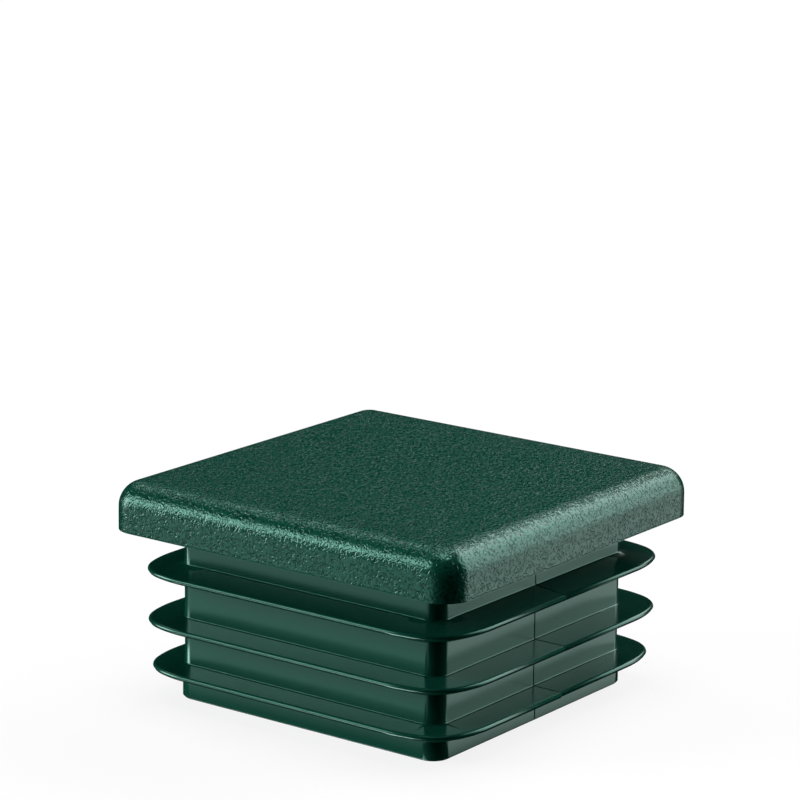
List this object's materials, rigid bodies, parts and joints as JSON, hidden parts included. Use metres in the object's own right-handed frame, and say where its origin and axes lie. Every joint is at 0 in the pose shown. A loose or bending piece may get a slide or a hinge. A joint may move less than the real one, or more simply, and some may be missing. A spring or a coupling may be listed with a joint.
{
  "type": "square tube end cap",
  "caption": "Push-in end cap for square tube: a low soft-edged head over a hollow plug ringed by thin sprung ribs that grip the bore.",
  "frame": {"origin": "centre of the head's underside, in the plane where it seats on the tube's end", "axes": "+Z out of the tube, through the head; +X square to one of the two sides that carry the parting line"},
  "size_m": [0.04, 0.04, 0.0215],
  "materials": {
    "moulded_plastic": "deep green, finely grained on the head and smooth satin on the plug"
  },
  "bodies": {
    "root": {"ribbed_end_cap": "moulded_plastic"}
  },
  "joints": []
}
